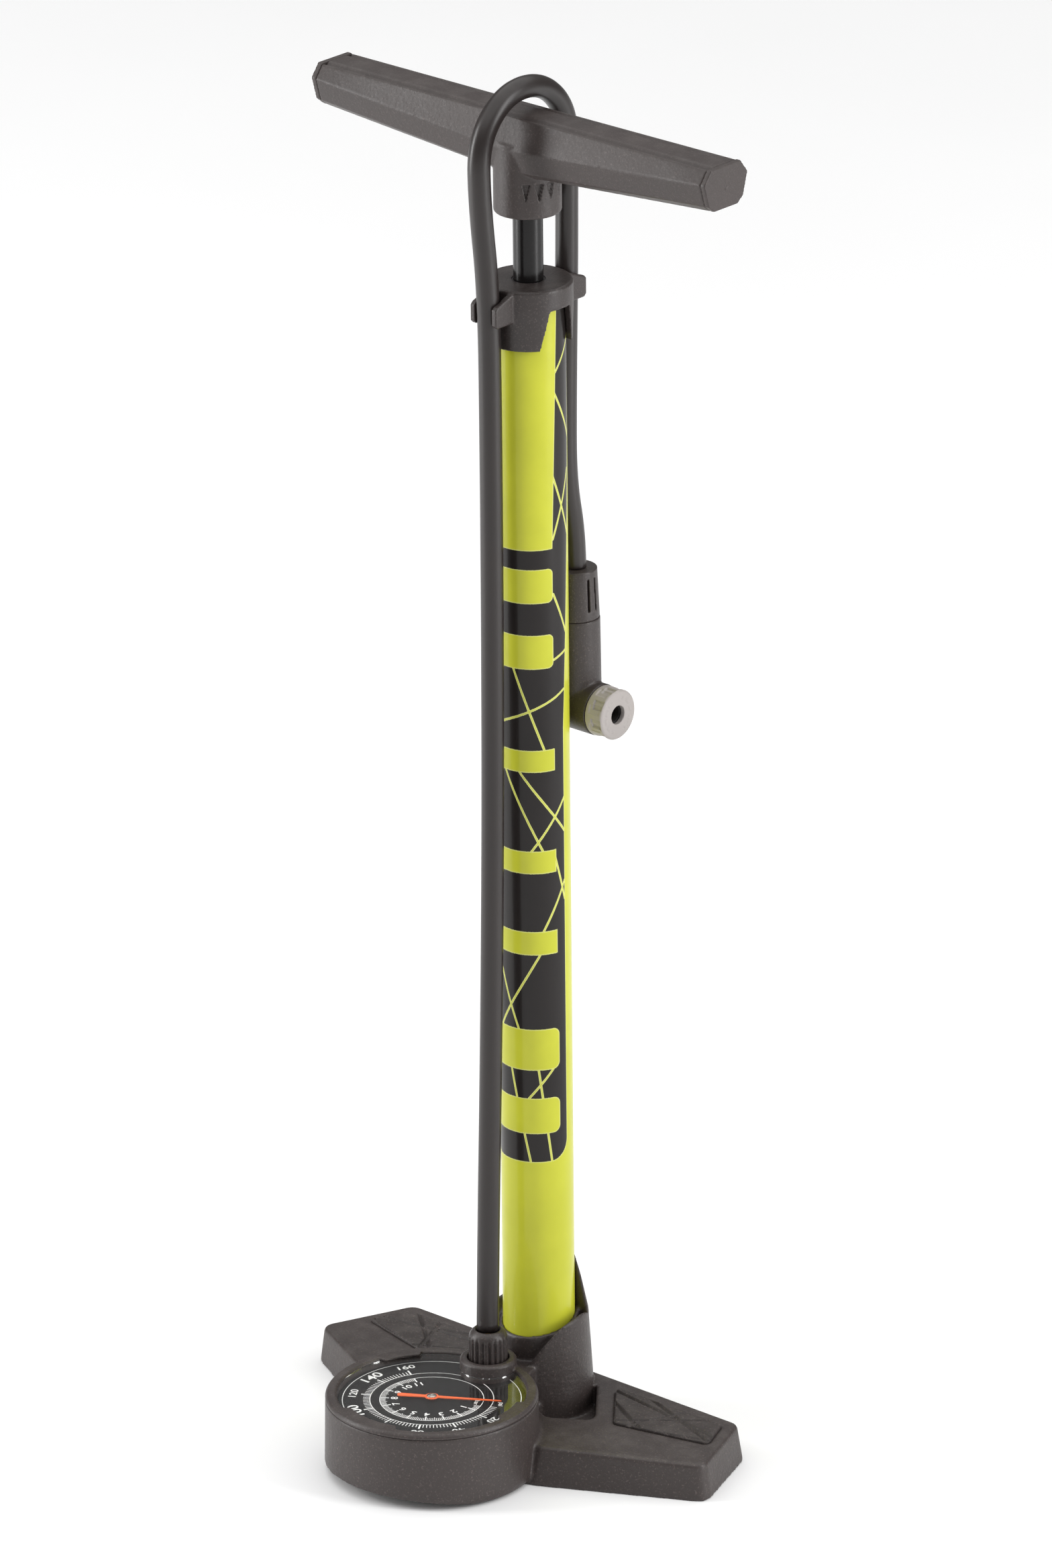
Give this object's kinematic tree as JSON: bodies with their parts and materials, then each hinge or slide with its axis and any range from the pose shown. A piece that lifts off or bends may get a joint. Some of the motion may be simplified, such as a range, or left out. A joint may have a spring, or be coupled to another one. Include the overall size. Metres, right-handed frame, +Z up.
{
  "type": "floor bike pump",
  "caption": "Upright floor pump with a long T handle, a lime barrel, a flat round gauge in a three-sided base and a hose looped over the handle to a twist head.",
  "frame": {"origin": "on the floor, on the axis of the barrel, in the base's flat underside", "axes": "+Z up along the barrel; X along the handle; -Y toward the gauge, so the user stands on the +Y side"},
  "size_m": [0.2736, 0.1876, 0.7448],
  "materials": {
    "base_plastic": "fine spark-eroded texture",
    "collar_plastic": "fine spark-eroded texture",
    "handle_plastic": "fine spark-eroded texture",
    "bearing_plastic": "plain moulded",
    "cap_grey": "satin moulded",
    "dial_black": "printed",
    "needle_orange": "painted",
    "lens_clear": "clear, glossy",
    "pad_rubber": "grained",
    "hose_rubber": "satin",
    "seal_rubber": "satin",
    "barrel_paint": "gloss lacquer with a printed dark panel",
    "rod_black": "gloss black",
    "steel": "machined",
    "brass": "machined"
  },
  "bodies": {
    "root": {"base_body": "base_plastic", "foot_pad_left": "pad_rubber", "foot_pad_right": "pad_rubber", "barrel": "barrel_paint", "barrel_collar": "collar_plastic", "rod_guide_bush": "bearing_plastic", "rod_wiper": "seal_rubber", "top_bumper": "seal_rubber", "valve_body": "bearing_plastic", "valve_o_ring": "seal_rubber", "valve_spring": "steel", "gauge_bezel": "base_plastic", "gauge_lens": "lens_clear", "gauge_dial": "dial_black", "movement_plate": "brass", "movement_screws": "steel", "pressure_block": "brass", "bourdon_tube": "brass", "hose_spigot": "brass", "hose_nut": "collar_plastic", "hose_front_run": "hose_rubber", "hose_rear_run": "hose_rubber", "head_body": "collar_plastic", "head_ferrule": "collar_plastic", "head_gasket": "seal_rubber", "valve_pin": "brass"},
    "plunger": {"piston_seal": "seal_rubber", "hose_loop": "hose_rubber"},
    "handle": {"piston_rod": "rod_black", "piston": "bearing_plastic", "piston_screw": "steel", "rod_insert": "steel", "handle_screw": "steel", "handle_washer": "steel", "handle_grip": "handle_plastic", "handle_end_cap_right": "handle_plastic", "handle_end_cap_left": "handle_plastic"},
    "needle": {"needle_spindle": "steel", "gauge_needle": "needle_orange", "needle_cap": "steel"},
    "sector": {"sector_gear": "brass"},
    "head_cap": {"head_cap": "cap_grey"},
    "poppet": {"valve_poppet": "brass"}
  },
  "joints": [
    {"name": "plunger_slide", "type": "slide", "parent": "root", "child": "plunger", "axis": [0, 0, 1], "range_m": [0, 0.555], "deforming": ["hose_loop"]},
    {"name": "handle_swivel", "type": "hinge", "parent": "plunger", "child": "handle", "pos_m": [0, 0, 0.7], "axis": [0, 0, 1], "range_deg": [-30, 30]},
    {"name": "sector_turn", "type": "hinge", "parent": "root", "child": "sector", "pos_m": [-0.01028, -0.11224, 0.017], "axis": [0, 0, 1], "range_deg": [0, 26.6], "stiffness_Nm_per_rad": 0.02},
    {"name": "needle_turn", "type": "hinge", "parent": "root", "child": "needle", "pos_m": [0, -0.084, 0.039], "axis": [0, 0, -1], "range_deg": [0, 240]},
    {"name": "head_cap_turn", "type": "hinge", "parent": "root", "child": "head_cap", "pos_m": [0.0235, 0.0335, 0.395], "axis": [1, 0, 0], "range_deg": [0, 90]},
    {"name": "valve_lift", "type": "slide", "parent": "root", "child": "poppet", "axis": [0, 0, -1], "range_m": [0, 0.002], "stiffness_N_per_m": 120, "springref_m": -0.001, "deforming": ["valve_spring"]}
  ],
  "couplings": [
    {"joint": "needle_turn", "follows": "sector_turn", "ratio": 9}
  ]
}
